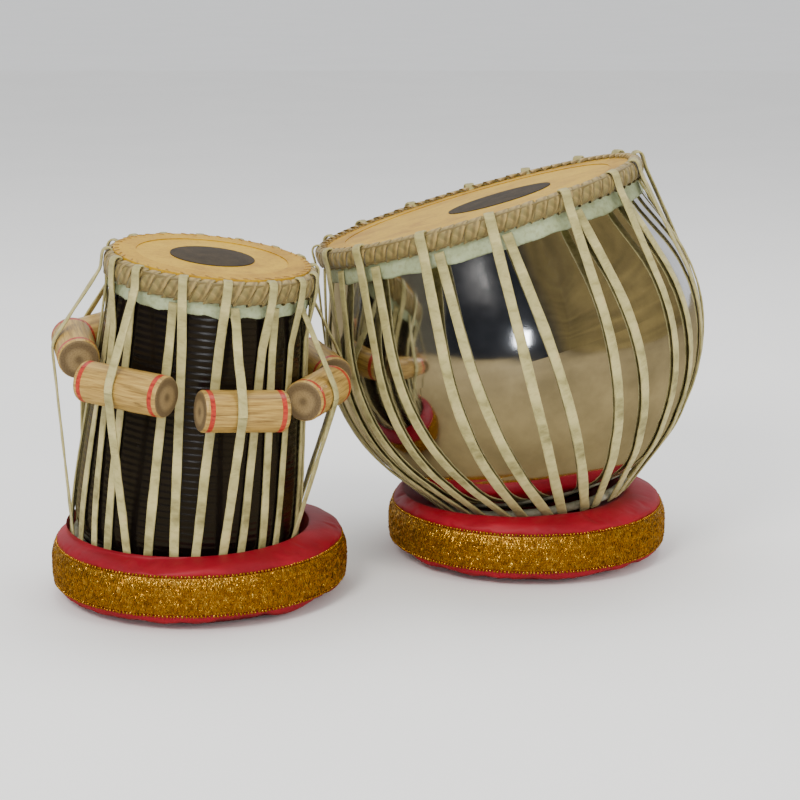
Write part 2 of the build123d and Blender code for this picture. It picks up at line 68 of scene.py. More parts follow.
# ------------------------------------------------------------------ the drums' own frames
class Drum:
    """A drum's axis and sizes, as in the CAD model: given in mm, kept in metres.

    lean is in degrees to the right and towards the front; plait is the hoop's outer
    radius, top and bottom; width is a strap's. Depths are below the head.
    """

    def __init__(self, name, head, lean, rim, slope, plait, skirt, width):
        self.name = name
        self.head = np.array(head) * MM
        up = np.array([tan(radians(lean[0])), -tan(radians(lean[1])), 1.0])
        self.up = up / np.linalg.norm(up)
        right = np.array([1.0, 0.0, 0.0]) - self.up * self.up[0]
        self.right = right / np.linalg.norm(right)
        self.away = np.cross(self.up, self.right)
        self.rim, self.slope = rim * MM, slope
        self.plait_outer, self.plait_top, self.plait_bottom = (k * MM for k in plait)
        self.skirt = skirt * MM
        self.width = width * MM

    def collar(self, depth):
        """The radius of the shell's collar at a depth."""
        return self.rim + self.slope * (depth - RIM_DEPTH)

    def points(self, radius, azimuth, depth):
        """Points at radii, azimuths in radians and depths below the head."""
        radius, azimuth, depth = np.broadcast_arrays(radius, azimuth, depth)
        out = np.sin(azimuth)[..., None] * self.right - np.cos(azimuth)[..., None] * self.away
        return self.head + out * radius[..., None] - depth[..., None] * self.up

    def outward(self, azimuth):
        """The directions away from the axis at azimuths."""
        return self.points(1.0, azimuth, 0.0) - self.head

    def local(self, p):
        """Radius, azimuth and depth of points."""
        v = p - self.head
        x, y = v @ self.right, v @ self.away
        return np.hypot(x, y), np.arctan2(x, -y), -(v @ self.up)

    def placed(self):
        """The drum's frame as a matrix."""
        m = Matrix.Identity(4)
        for column, axis in enumerate((self.right, self.away, self.up, self.head)):
            for row in range(3):
                m[row][column] = axis[row]
        return m


SMALL = Drum("dayan", head=(-131.5, -81.0, 266.3), lean=(7.1, 2.7), rim=73.4, slope=0.076,
             plait=(81.6, 1.5, 19.5), skirt=27.5, width=7.0)
LARGE = Drum("bayan", head=(73.5, 43.9, 289.7), lean=(-16.3, -2.1), rim=130.0, slope=0.07,
             plait=(138.4, -3.0, 13.0), skirt=24.5, width=8.0)
BELLY = np.array(next(j["pos_m"] for j in frame["joints"] if j["name"] == "bayan_tilt"))


# ------------------------------------------------------------------ mesh helpers
class Shape:
    """Gathers points, faces, texture coordinates and materials for one mesh."""

    def __init__(self):
        self.points, self.faces, self.uvs, self.kinds = [], [], [], []
        self.count = 0

    def grid(self, p, uv, wrap=False, kind=0):
        """A sheet of quads over an array of points; wrap joins its last column to its first.

        Returns the number of its first point.
        """
        n, m = p.shape[:2]
        start = self.count
        self.points.append(p.reshape(-1, 3))
        self.count += n * m
        if wrap:
            uv = np.concatenate([uv, 2 * uv[:, -1:] - uv[:, -2:-1]], 1)
        for i in range(n - 1):
            row, next_row = start + i * m, start + (i + 1) * m
            for j in range(m if wrap else m - 1):
                k = (j + 1) % m
                self.faces.append([row + j, row + k, next_row + k, next_row + j])
                self.uvs.append([uv[i, j], uv[i, j + 1], uv[i + 1, j + 1], uv[i + 1, j]])
                self.kinds.append(kind)
        return start

    def cap(self, start, uv, flip=False):
        """Closes the ring of points from start on with one face."""
        order = list(range(len(uv)))[::-1] if flip else list(range(len(uv)))
        self.faces.append([start + j for j in order])
        self.uvs.append([uv[j] for j in order])
        self.kinds.append(0)

    def build(self, name, materials, smooth=True):
        """Makes the mesh object of what was gathered."""
        mesh = bpy.data.meshes.new(name)
        mesh.from_pydata(np.concatenate(self.points).tolist(), [], self.faces)
        layer = mesh.uv_layers.new(name="UVMap")
        layer.data.foreach_set("uv", np.concatenate([np.array(u) for u in self.uvs]).ravel())
        mesh.polygons.foreach_set("material_index", self.kinds)
        mesh.polygons.foreach_set("use_smooth", [smooth] * len(mesh.polygons))
        for m in materials:
            mesh.materials.append(m)
        mesh.update()
        made = bpy.data.objects.new(name, mesh)
        bpy.context.scene.collection.objects.link(made)
        return made


def unit(v):
    """Vectors at length one."""
    return v / np.maximum(np.linalg.norm(v, axis=-1, keepdims=True), 1e-12)


def tangents(path):
    """The direction of a path at each of its points."""
    return unit(np.gradient(path, axis=0))


def smoothed(path, sigma, step):
    """A path with its corners eased, its ends kept."""
    reach = max(1, int(3 * sigma / step))
    kernel = np.exp(-0.5 * (np.arange(-reach, reach + 1) * step / sigma) ** 2)
    kernel /= kernel.sum()
    head = 2 * path[0] - path[1:reach + 1][::-1]
    tail = 2 * path[-1] - path[-reach - 1:-1][::-1]
    long = np.concatenate([head, path, tail])
    return np.stack([np.convolve(long[:, k], kernel, "valid") for k in range(path.shape[1])], 1)


def resampled(path, step):
    """A path with its points about a step apart."""
    length = np.concatenate([[0], np.cumsum(np.linalg.norm(np.diff(path, axis=0), axis=1))])
    count = max(4, int(length[-1] / step) + 1)
    at = np.linspace(0, length[-1], count)
    return np.stack([np.interp(at, length, path[:, k]) for k in range(path.shape[1])], 1)


def wander(count, knots, size):
    """A slow random wave of so many knots."""
    heights = rng.normal(0, size, knots + 1)
    return np.interp(np.linspace(0, knots, count), np.arange(knots + 1), heights)


def sweep(shape, path, side, wide, thick, corners, power):
    """A band or strand along a path; wide and thick are half its width and thickness.

    power rounds its section: 1 is an oval, less is nearer to a box.
    """
    t = tangents(path)
    side = unit(side - (side * t).sum(1, keepdims=True) * t)
    out = np.cross(t, side)
    angle = np.arange(corners) * 2 * pi / corners + pi / corners
    x = np.sign(np.cos(angle)) * np.abs(np.cos(angle)) ** power
    y = np.sign(np.sin(angle)) * np.abs(np.sin(angle)) ** power
    wide, thick = np.broadcast_to(wide, len(path)), np.broadcast_to(thick, len(path))
    p = (path[:, None] + side[:, None] * (x * wide[:, None])[..., None]
         + out[:, None] * (y * thick[:, None])[..., None])
    run = np.concatenate([[0], np.cumsum(np.linalg.norm(np.diff(path, axis=0), axis=1))])
    around = np.arange(corners) / corners * 2 * (wide.mean() + thick.mean())
    uv = np.stack(np.broadcast_arrays(run[:, None], around[None]), 2)
    start = shape.grid(p, uv, wrap=True)
    shape.cap(start, uv[0])
    shape.cap(start + (len(path) - 1) * corners, uv[-1], flip=True)


# ------------------------------------------------------------------ materials
def tinted(r, g, b):
    """An sRGB colour of 0 to 255 as linear light."""
    levels = [c / 255 for c in (r, g, b)]
    light = [c / 12.92 if c < 0.0404 else ((c + 0.055) / 1.055) ** 2.4 for c in levels]
    return (*light, 1.0)


class Finish:
    """A procedural material: mottled colour, a fine relief and the sockets given one by one."""

    def __init__(self, name, use_uv=False, placed=None, **sockets):
        self.m = bpy.data.materials.new(name)
        self.m.use_nodes = True
        self.tree = self.m.node_tree
        self.shader = self.tree.nodes["Principled BSDF"]
        for socket, value in sockets.items():
            self.shader.inputs[socket.replace("_", " ")].default_value = value
        self.where = self.tree.nodes.new("ShaderNodeTexCoord").outputs["UV" if use_uv else "Object"]
        if placed is not None:
            into = self.tree.nodes.new("ShaderNodeMapping")
            into.vector_type = "TEXTURE"
            into.inputs["Location"].default_value = placed.to_translation()
            into.inputs["Rotation"].default_value = placed.to_euler()
            self.tree.links.new(self.where, into.inputs["Vector"])
            self.where = into.outputs["Vector"]
        self.normal = None

    def stretched(self, scale):
        """The texture coordinates, scaled along their axes."""
        node = self.tree.nodes.new("ShaderNodeMapping")
        node.inputs["Scale"].default_value = scale
        self.tree.links.new(self.where, node.inputs["Vector"])
        return node.outputs["Vector"]

    def noise(self, scale, stretch=(1, 1, 1), detail=4.0, rough=0.55, distortion=0.0):
        """Cloudy noise."""
        node = self.tree.nodes.new("ShaderNodeTexNoise")
        node.inputs["Scale"].default_value = scale
        node.inputs["Detail"].default_value = detail
        node.inputs["Roughness"].default_value = rough
        node.inputs["Distortion"].default_value = distortion
        self.tree.links.new(self.stretched(stretch), node.inputs["Vector"])
        return node.outputs["Fac"]

    def cells(self, scale, stretch=(1, 1, 1), feature="F1"):
        """Irregular cells, by the distance to their middle or their edge."""
        node = self.tree.nodes.new("ShaderNodeTexVoronoi")
        node.feature = feature
        node.inputs["Scale"].default_value = scale
        self.tree.links.new(self.stretched(stretch), node.inputs["Vector"])
        return node.outputs["Distance"]

    def wave(self, scale, direction="X", kind="BANDS", distortion=0.0, stretch=(1, 1, 1)):
        """Regular bands or rings."""
        node = self.tree.nodes.new("ShaderNodeTexWave")
        node.wave_type = kind
        if kind == "BANDS":
            node.bands_direction = direction
        else:
            node.rings_direction = direction
        node.inputs["Scale"].default_value = scale
        node.inputs["Distortion"].default_value = distortion
        node.inputs["Detail"].default_value = 2.0
        self.tree.links.new(self.stretched(stretch), node.inputs["Vector"])
        return node.outputs["Fac"]

    def ramp(self, factor, stops):
        """A factor turned into colours, each at its place."""
        node = self.tree.nodes.new("ShaderNodeValToRGB")
        elements = node.color_ramp.elements
        while len(elements) < len(stops):
            elements.new(0.5)
        for element, (at, colour) in zip(elements, stops):
            element.position = at
            element.color = colour
        self.tree.links.new(factor, node.inputs["Fac"])
        return node.outputs["Color"]

    def darkened(self, base, stains, share):
        """A colour multiplied by another, by a share."""
        node = self.tree.nodes.new("ShaderNodeMix")
        node.data_type = "RGBA"
        node.blend_type = "MULTIPLY"
        factor, a, b = (node.inputs[i] for i in (0, 6, 7))
        factor.default_value = share
        self.tree.links.new(base, a)
        self.tree.links.new(stains, b)
        return node.outputs[2]

    def colour(self, source):
        """Takes a colour for the surface."""
        self.tree.links.new(source, self.shader.inputs["Base Color"])

    def roughness(self, factor, low, high):
        """Takes a factor for the surface's roughness, between two values."""
        node = self.tree.nodes.new("ShaderNodeMapRange")
        node.inputs["To Min"].default_value = low
        node.inputs["To Max"].default_value = high
        self.tree.links.new(factor, node.inputs["Value"])
        self.tree.links.new(node.outputs["Result"], self.shader.inputs["Roughness"])

    def relief(self, factor, distance, strength=1.0):
        """Adds a height in metres to the surface's shading."""
        node = self.tree.nodes.new("ShaderNodeBump")
        node.inputs["Distance"].default_value = distance
        node.inputs["Strength"].default_value = strength
        self.tree.links.new(factor, node.inputs["Height"])
        if self.normal:
            self.tree.links.new(self.normal, node.inputs["Normal"])
        self.normal = node.outputs["Normal"]
        self.tree.links.new(self.normal, self.shader.inputs["Normal"])


def painted(node, finish):
    """Gives a CAD node this material."""
    slots = nodes[node].data.materials
    for i in range(len(slots)):
        slots[i] = finish.m


def lacquer():
    """Black lacquer on turned wood, with the tool's fine rings left in it."""
    f = Finish("black_lacquer", placed=SMALL.placed(), Specular_IOR_Level=0.32,
               Coat_Weight=0.22, Coat_Roughness=0.08)
    patches = f.noise(16, (1, 1, 2.2), 5, 0.6)
    f.colour(f.ramp(patches, [(0.3, tinted(9, 7, 7)), (0.62, tinted(18, 12, 11)),
                              (0.82, tinted(40, 24, 18))]))
    f.roughness(f.noise(60, (1, 1, 3)), 0.14, 0.34)
    f.relief(f.wave(62, "Z", distortion=0.6), 0.00035, 0.8)
    f.relief(f.noise(300, (1, 1, 4)), 0.0001, 0.5)
    return f


def chrome():
    """Polished plating, smeared by hands and a little uneven from spinning."""
    f = Finish("chrome_plate", Metallic=1.0, Roughness=0.07, Base_Color=(0.66, 0.66, 0.67, 1))
    smears = f.noise(22, detail=6, rough=0.65)
    f.colour(f.ramp(smears, [(0.35, (0.50, 0.50, 0.51, 1)), (0.65, (0.72, 0.72, 0.73, 1))]))
    f.roughness(smears, 0.03, 0.16)
    f.relief(f.noise(13, detail=1.5), 0.0016, 0.5)
    return f


def hide(name, pale, mid, dark, rough):
    """Stretched skin or rawhide: cloudy colour, pores and faint creases."""
    grain = 420
    f = Finish(name, Roughness=rough, Specular_IOR_Level=0.3)
    clouds = f.noise(24, detail=6, rough=0.62, distortion=0.4)
    base = f.ramp(clouds, [(0.30, dark), (0.5, mid), (0.70, pale)])
    specks = f.ramp(f.noise(grain * 0.8, detail=3),
                    [(0.36, (0.72, 0.66, 0.55, 1)), (0.52, (1, 1, 1, 1))])
    f.colour(f.darkened(base, specks, 0.55))
    f.relief(clouds, 0.0004, 0.35)
    f.relief(f.noise(grain, detail=4), 0.00012, 0.6)
    return f


def strap_hide():
    """Greenish rawhide lacing, stained and fibrous along its length."""
    f = Finish("strap_hide", use_uv=True, Roughness=0.55, Sheen_Weight=0.1)
    patches = f.noise(55, (1, 2.2, 1), 6, 0.65, 0.5)
    base = f.ramp(patches, [(0.28, tinted(122, 114, 66)), (0.46, tinted(168, 158, 100)),
                            (0.62, tinted(192, 180, 120)), (0.8, tinted(186, 152, 100))])
    stains = f.ramp(f.noise(230, (1, 1.6, 1), 5, 0.7),
                    [(0.34, (0.60, 0.56, 0.42, 1)), (0.5, (1, 1, 1, 1))])
    f.colour(f.darkened(base, stains, 0.6))
    f.relief(f.noise(420, (0.5, 2, 1), 5, 0.7), 0.00035, 0.8)
    f.relief(patches, 0.0005, 0.5)
    return f


def strand_hide():
    """The hoop's strands: browner rawhide with lengthwise plies."""
    f = Finish("strand_hide", use_uv=True, Roughness=0.6, Sheen_Weight=0.1)
    patches = f.noise(70, (1, 2, 1), 6, 0.65, 0.6)
    base = f.ramp(patches, [(0.28, tinted(82, 78, 42)), (0.44, tinted(128, 112, 60)),
                            (0.6, tinted(166, 140, 80)), (0.78, tinted(156, 112, 64))])
    plies = f.wave(95, "Y", distortion=1.2, stretch=(0.35, 1, 1))
    dark = f.ramp(plies, [(0.05, (0.42, 0.38, 0.30, 1)), (0.4, (1, 1, 1, 1))])
    f.colour(f.darkened(base, dark, 0.65))
    f.relief(plies, 0.0007, 0.8)
    f.relief(f.noise(380, (0.6, 2, 1), 5), 0.0003, 0.7)
    return f


def paste():
    """The crazed, matt black paste of the tuning spots."""
    f = Finish("tuning_paste", Roughness=0.75, Specular_IOR_Level=0.25)
    patches = f.noise(90, detail=6, rough=0.7)
    f.colour(f.ramp(patches, [(0.3, tinted(44, 36, 25)), (0.6, tinted(62, 51, 35)),
                              (0.8, tinted(78, 66, 46))]))
    f.relief(f.cells(420, feature="DISTANCE_TO_EDGE"), 0.0003, 0.5)
    f.relief(f.noise(700, detail=4), 0.00015, 0.7)
    return f


def dowel_wood():
    """Plain turned wood, its grain along the dowel."""
    f = Finish("dowel_wood", use_uv=True, Roughness=0.42, Coat_Weight=0.15, Coat_Roughness=0.3)
    grain = f.noise(120, (0.22, 3.2, 1), 7, 0.62, 0.9)
    fine = f.noise(420, (0.12, 4, 1), 4, 0.6)
    base = f.ramp(grain, [(0.3, tinted(122, 94, 42)), (0.5, tinted(176, 142, 68)),
                          (0.7, tinted(204, 170, 88))])
    lines = f.ramp(fine, [(0.38, (0.62, 0.48, 0.34, 1)), (0.55, (1, 1, 1, 1))])
    f.colour(f.darkened(base, lines, 0.6))
    f.roughness(grain, 0.36, 0.6)
    f.relief(fine, 0.00025, 0.7)
    return f


def dowel_red():
    """The worn red paint of a dowel's bands."""
    f = Finish("dowel_red_paint", use_uv=True, Roughness=0.45, Coat_Weight=0.2)
    wear = f.noise(260, (0.6, 1.5, 1), 6, 0.7)
    f.colour(f.ramp(wear, [(0.32, tinted(104, 30, 18)), (0.5, tinted(176, 40, 24)),
                           (0.78, tinted(190, 84, 46))]))
    f.relief(wear, 0.0003, 0.6)
    return f


def end_grain():
    """A dowel's sawn ends, darkened and dirty."""
    f = Finish("dowel_end_grain", use_uv=True, Roughness=0.7)
    rings = f.wave(26, "Z", "RINGS", distortion=1.6)
    base = f.ramp(rings, [(0.1, tinted(104, 84, 52)), (0.6, tinted(130, 108, 70)),
                          (0.9, tinted(142, 118, 76))])
    pores = f.ramp(f.noise(900, detail=3), [(0.4, (0.6, 0.55, 0.45, 1)), (0.56, (1, 1, 1, 1))])
    f.colour(f.darkened(base, pores, 0.6))
    f.relief(rings, 0.0003, 0.6)
    return f


def satin():
    """The crimson cloth of the cushions."""
    f = Finish("crimson_satin", Sheen_Weight=0.05, Sheen_Roughness=0.35,
               Specular_IOR_Level=0.3)
    f.shader.inputs["Sheen Tint"].default_value = (1.0, 0.35, 0.40, 1)
    f.colour(f.ramp(f.noise(16, detail=4), [(0.3, tinted(116, 2, 20)), (0.7, tinted(158, 4, 32))]))
    f.roughness(f.noise(9, detail=3), 0.42, 0.6)
    f.relief(f.noise(2400, detail=2), 0.00006, 0.6)
    f.relief(f.noise(38, (1, 1, 0.5), 3), 0.0011, 0.35)
    return f


def gold_weave():
    """The trim's woven metallic ground, between its spangles."""
    f = Finish("gold_weave", Metallic=0.55, Roughness=0.45)
    threads = f.noise(420, (1, 1, 0.4), 4, 0.7)
    f.colour(f.ramp(threads, [(0.3, tinted(92, 56, 12)), (0.52, tinted(164, 112, 24)),
                              (0.75, tinted(214, 168, 60))]))
    f.relief(f.cells(700, (1, 1, 0.5)), 0.0006, 0.9)
    return f


def gold_foil():
    """The trim's spangles and beads, each of a slightly different gold."""
    f = Finish("gold_foil", Metallic=0.9, Roughness=0.26)
    patches = f.noise(260, detail=5, rough=0.75)
    f.colour(f.ramp(patches, [(0.28, tinted(134, 80, 14)), (0.5, tinted(204, 144, 30)),
                              (0.72, tinted(250, 208, 96))]))
    f.relief(f.noise(1500, detail=3), 0.0003, 0.8)
    return f


def thread():
    """The twisted thread that sews the edge skin to the hoop."""
    f = Finish("stitch_thread", use_uv=True, Roughness=0.7)
    shades = [(0.35, tinted(150, 112, 58)), (0.7, tinted(196, 154, 88))]
    f.colour(f.ramp(f.noise(600, detail=4), shades))
    f.relief(f.wave(300, "X", distortion=0.5), 0.0003, 0.7)
    return f


LACQUER, CHROME, PASTE = lacquer(), chrome(), paste()
HEAD = hide("goat_skin", tinted(202, 163, 14), tinted(191, 149, 10), tinted(163, 120, 8), 0.5)
EDGE = hide("edge_skin", tinted(196, 155, 14), tinted(180, 137, 10), tinted(148, 107, 8), 0.54)
LINING = hide("lining_skin", tinted(202, 200, 168), tinted(186, 184, 150),
              tinted(160, 156, 122), 0.6)
SKIRT = hide("skirt_skin", tinted(178, 188, 152), tinted(156, 166, 128), tinted(124, 130, 92), 0.62)
RING = hide("ring_hide", tinted(186, 186, 164), tinted(160, 158, 134), tinted(120, 112, 88), 0.65)
STRAP, STRAND = strap_hide(), strand_hide()
WOOD, RED, END = dowel_wood(), dowel_red(), end_grain()
SATIN, WEAVE, FOIL, THREAD = satin(), gold_weave(), gold_foil(), thread()

painted("dayan_shell", LACQUER)
painted("bayan_shell", CHROME)
for drum in (SMALL, LARGE):
    painted(f"{drum.name}_main_skin", HEAD)
    painted(f"{drum.name}_edge_skin", EDGE)
    painted(f"{drum.name}_lining_skin", LINING)
    painted(f"{drum.name}_tuning_spot", PASTE)
    painted(f"{drum.name}_plait_core", STRAND)
    painted(f"{drum.name}_bottom_ring", RING)
    painted(f"{drum.name}_cushion_trim", WEAVE)


def finish_piece(piece, body, slot, *replaced):
    """Declares what a piece rides on and what it stands for; the slot it is painted by is not used.
    """
    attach(piece, body)
    if replaced:
        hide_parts(*replaced)


# ------------------------------------------------------------------ the lacing
def welded(mesh):
    """A CAD mesh's points and triangles, with the corners that meet within 0.01 mm joined."""
    per_metre = 1e5
    co = np.empty(len(mesh.vertices) * 3)
    mesh.vertices.foreach_get("co", co)
    keys, index = {}, []
    for p in np.round(co.reshape(-1, 3) * per_metre).astype(int):
        index.append(keys.setdefault(tuple(p), len(keys)))
    triangles = [[index[v] for v in face.vertices] for face in mesh.polygons]
    return np.array(list(keys), float) / per_metre, triangles


def islands(count, triangles):
    """Triangles in groups that hang together."""
    root = list(range(count))

    def find(i):
        while root[i] != i:
            root[i] = root[root[i]]
            i = root[i]
        return i

    for a, b, c in triangles:
        root[find(a)] = find(b)
        root[find(b)] = find(c)
    groups = {}
    for t in triangles:
        groups.setdefault(find(t[0]), []).append(t)
    return list(groups.values())


def middle_line(points, triangles, width):
    """The middle line of a CAD strap, and the direction across it.

    The CAD strap is a flat outline, extruded across. Its edges that are as long as the
    strap is wide show which way that is; their middles, joined in the order of the
    outline's corners, give a ring, which the strap's two short ends cut into an inner and
    an outer line.
    """
    normal, edges = {}, {}
    for t in triangles:
        n = np.cross(points[t[1]] - points[t[0]], points[t[2]] - points[t[0]])
        normal[tuple(t)] = n / max(np.linalg.norm(n), 1e-15)
        for a, b in ((t[0], t[1]), (t[1], t[2]), (t[2], t[0])):
            edges.setdefault((min(a, b), max(a, b)), []).append(tuple(t))
    slack = 0.03 * MM
    across = [(a, b) for a, b in edges
              if abs(np.linalg.norm(points[a] - points[b]) - width) < slack]
    ways = [unit(points[b] - points[a]) for a, b in across]
    votes = [sum(abs(w @ v) > 0.9999 for v in ways) for w in ways]
    n = ways[int(np.argmax(votes))]
    pair_of, middles = {}, []
    for (a, b), w in zip(across, ways):
        if abs(w @ n) > 0.999:
            pair_of[a] = pair_of[b] = len(middles)
            middles.append((points[a] + points[b]) / 2)
    near = {i: set() for i in range(len(middles))}
    for (a, b), owners in edges.items():
        flank = [abs(normal[t] @ n) > 0.99 for t in owners]
        if any(flank) and not all(flank) and pair_of[a] != pair_of[b]:
            near[pair_of[a]].add(pair_of[b])
            near[pair_of[b]].add(pair_of[a])
    loop = [0]
    while fresh := [k for k in near[loop[-1]] if k not in loop]:
        loop.append(fresh[0])
    ring = np.array([middles[i] for i in loop])
    m = len(ring) // 2
    gaps = np.abs(np.linalg.norm(ring - np.roll(ring, -1, 0), axis=1) - STRAP_THICKNESS)
    cut = int(np.argmin(gaps[:m] + gaps[m:2 * m]))
    ring = np.roll(ring, -(cut + 1), 0)
    return (ring[:m] + ring[m:2 * m][::-1]) / 2, n


def tucked_end(drum, start):
    """Where a strap that starts over the hoop comes up out of its hole, from below."""
    radius, azimuth, depth = drum.local(start[None])
    inward = np.array([2.2, 2.0, 1.2]) * MM
    below = np.array([6.0, 3.4, 1.2]) * MM
    return drum.points(radius - inward, azimuth, depth + below)


STRAP_STEP = 2.2 * MM


def strap_path(drum, points, triangles):
    """The middle line of a strap from its top down, eased, and the direction across it."""
    line, n = middle_line(points, triangles, drum.width)
    depth = drum.local(line)[2]
    if depth[0] > depth[-1]:
        line = line[::-1]
    if min(depth[0], depth[-1]) < drum.plait_top:
        line = np.concatenate([tucked_end(drum, line[0]), line])
    line = smoothed(resampled(line, STRAP_STEP), STRAP_STEP, STRAP_STEP)
    middle = len(line) // 2
    out = drum.outward(drum.local(line[middle][None])[1])[0]
    if np.cross(tangents(line)[middle], n) @ out < 0:
        n = -n
    return line, n


def strap_band(shape, drum, line, n):
    """A hand-cut strap along a line: its width, its thickness and its twist wander a little."""
    count = len(line)
    out = np.cross(tangents(line), n)
    flat_end = np.minimum(1, np.arange(count)[::-1] / 12)
    twist = wander(count, 7, 0.045) * flat_end
    across = n * np.cos(twist)[:, None] + out * np.sin(twist)[:, None]
    ease = np.sin(np.linspace(0, pi, count))
    sway = wander(count, 6, 0.22 * MM) * ease
    lift = np.abs(wander(count, 9, 0.10 * MM))
    path = line + n * sway[:, None] + out * lift[:, None]
    wide = drum.width / 2 * (1 + wander(count, 14, 0.035))
    thick = STRAP_THICKNESS / 2 * (1 + wander(count, 18, 0.09))
    sweep(shape, path, across, wide, thick, corners=12, power=0.5)


def lace(drum, node, body):
    """Leather in place of one node's straps."""
    shape = Shape()
    points, triangles = welded(nodes[node].data)
    for island in islands(len(points), triangles):
        line, n = strap_path(drum, points, island)
        strap_band(shape, drum, line, n)
    finish_piece(shape.build(f"{node}_leather", [STRAP.m]), body, "strap_leather", node)


for drum in (SMALL, LARGE):
    for layer in ("over_straps", "under_straps"):
        lace(drum, f"{drum.name}_{layer}", drum.name)


# counts of points from the top and from the bottom of a dowel's strap, paired with the ends of its
# hold on the dowel
STILL_ABOVE, STILL_BELOW = 9, 6


def dowel_strap(number):
    """The strap over one dowel, in two halves that meet on its crest."""
    node, body = f"dayan_dowel_strap_{number}", f"dowel_{number}"
    line, n = strap_path(SMALL, *welded(nodes[node].data))
    crest = int(np.argmax(SMALL.local(line)[0]))
    low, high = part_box(f"tuning_dowel_{number}")
    off_axis = np.linalg.norm(line - (np.array(low) + np.array(high)) / 2, axis=1)
    held = np.nonzero(off_axis < off_axis[crest] + 3 * MM)[0]
    for part, span, ends in (("upper", slice(0, crest + 1), (STILL_ABOVE, held[0])),
                             ("lower", slice(crest, len(line)), (-STILL_BELOW, held[-1]))):
        shape = Shape()
        strap_band(shape, SMALL, line[span], n)
        piece = shape.build(f"{node}_{part}", [STRAP.m])
        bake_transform(piece)
        if part == "upper":
            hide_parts(node)


for number in DOWEL_NUMBERS:
    dowel_strap(number)


# ------------------------------------------------------------------ hoops, skirts and stitches
def hoop(drum, count):
    """The plaited hoop: strands that climb its outside from lower left to upper right."""
    inner_low = drum.collar(drum.plait_bottom) + 2.3 * MM
    inner_top = drum.collar(drum.plait_top) + 1.2 * MM
    inner = (inner_low + inner_top) / 2
    middle = (drum.plait_top + drum.plait_bottom) / 2
    half = (drum.plait_bottom - drum.plait_top) / 2
    pitch = 2 * pi * drum.plait_outer / count
    thick = 1.9 * MM
    turns = np.linspace(-0.62 * pi, 0.62 * pi, 19)
    tucked = np.where(turns < 0, inner_low, inner_top) - 0.6 * MM
    rise = np.sign(np.sin(turns)) * np.abs(np.sin(turns)) ** 0.75
    depth = middle - (half - thick * 0.8) * rise
    shape = Shape()
    for k in range(count):
        reach = drum.plait_outer - inner - thick + rng.normal(0, 0.12) * MM
        radius = np.maximum(inner + reach * np.cos(turns), tucked)
        radius = np.where(np.abs(turns) > pi / 2, tucked, radius)
        climb = 2 * pi / count * (1.15 + rng.normal(0, 0.04))
        azimuth = 2 * pi * (k + rng.normal(0, 0.05)) / count + climb * turns / pi
        path = smoothed(drum.points(radius, azimuth, depth), 1.3, 1.0)
        out = drum.outward(azimuth) * np.cos(turns)[:, None] + drum.up * np.sin(turns)[:, None]
        side = np.cross(out, tangents(path))
        wide = pitch * 0.47 * (1 + rng.normal(0, 0.05)) * (1 - 0.25 * np.abs(turns) / pi)
        sweep(shape, path, side, wide, thick * (1 + rng.normal(0, 0.05)), corners=10, power=0.85)
    piece = shape.build(f"{drum.name}_plait_strands", [STRAND.m])
    finish_piece(piece, drum.name, "plait_leather", f"{drum.name}_plait")


def skirt(drum):
    """The ragged lower edge of the skin, below the hoop."""
    count = 720
    azimuth = np.linspace(0, 2 * pi, count, endpoint=False)
    waves = [rng.normal(0, 0.35) * np.cos(k * azimuth + rng.uniform(0, 2 * pi))
             for k in range(3, 40, 2)]
    rag = sum(waves) / 2.4 + rng.normal(0, 0.12, count)
    edge = drum.skirt + (1.3 + np.clip(rag, -0.9, 1.7)) * MM
    ripple = 0.12 * np.sin(azimuth * 61 + rng.uniform(0, 6)) + 0.10 * np.sin(azimuth * 37)
    rows = np.linspace(0, 1, 9)[:, None]
    top = drum.plait_bottom - 1.0 * MM
    depth = top + (edge - top) * rows
    low = np.clip((depth - drum.skirt) / (3 * MM), 0, 1)
    radius = drum.collar(depth) + (1.64 + ripple * rows - 0.3 * low) * MM
    outer = drum.points(radius, azimuth, depth)
    inner = drum.points(radius[::-1] - 0.55 * MM, azimuth, depth[::-1])
    run = np.concatenate([rows, 1 + rows]) * 12 * MM
    uv = np.stack(np.broadcast_arrays(azimuth[None] * drum.rim, run), 2)
    shape = Shape()
    shape.grid(np.concatenate([outer, inner]), uv, wrap=True)
    finish_piece(shape.build(f"{drum.name}_skirt", [SKIRT.m]), drum.name, "main_skin")


def stitches(drum, count):
    """The thread that holds the edge skin to the hoop, seen as short dashes round the head."""
    share = np.linspace(0, 1, 7)
    radius = drum.rim + (4.6 * share - 2.4) * MM
    depth = -(0.1 + 0.45 * np.sin(share * pi)) * MM
    shape = Shape()
    for k in range(count):
        start = 2 * pi * (k + rng.normal(0, 0.12)) / count
        path = drum.points(radius, start + share * pi / count, depth)
        side = np.cross(tangents(path), drum.up[None])
        sweep(shape, path, side, 0.4 * MM, 0.25 * MM, corners=6, power=1.0)
    finish_piece(shape.build(f"{drum.name}_stitches", [THREAD.m]), drum.name, "plait_core")


hoop(SMALL, 46)
hoop(LARGE, 78)
for drum, count in ((SMALL, 48), (LARGE, 80)):
    skirt(drum)
    stitches(drum, count)


# ------------------------------------------------------------------ tuning dowels
# (mm from a dowel's end, share of its radius): the rounded end, then the painted band
DOWEL_END = [(0.0, 0.0), (0.0, 0.55), (0.0, 0.86), (0.5, 0.945), (2.0, 0.995), (3.4, 1.0)]
DOWEL_BAND = [(7.2, 1.0), (7.6, 1.0), (14.0, 1.0)]
WOODEN, PAINTED, SAWN = 0, 1, 2


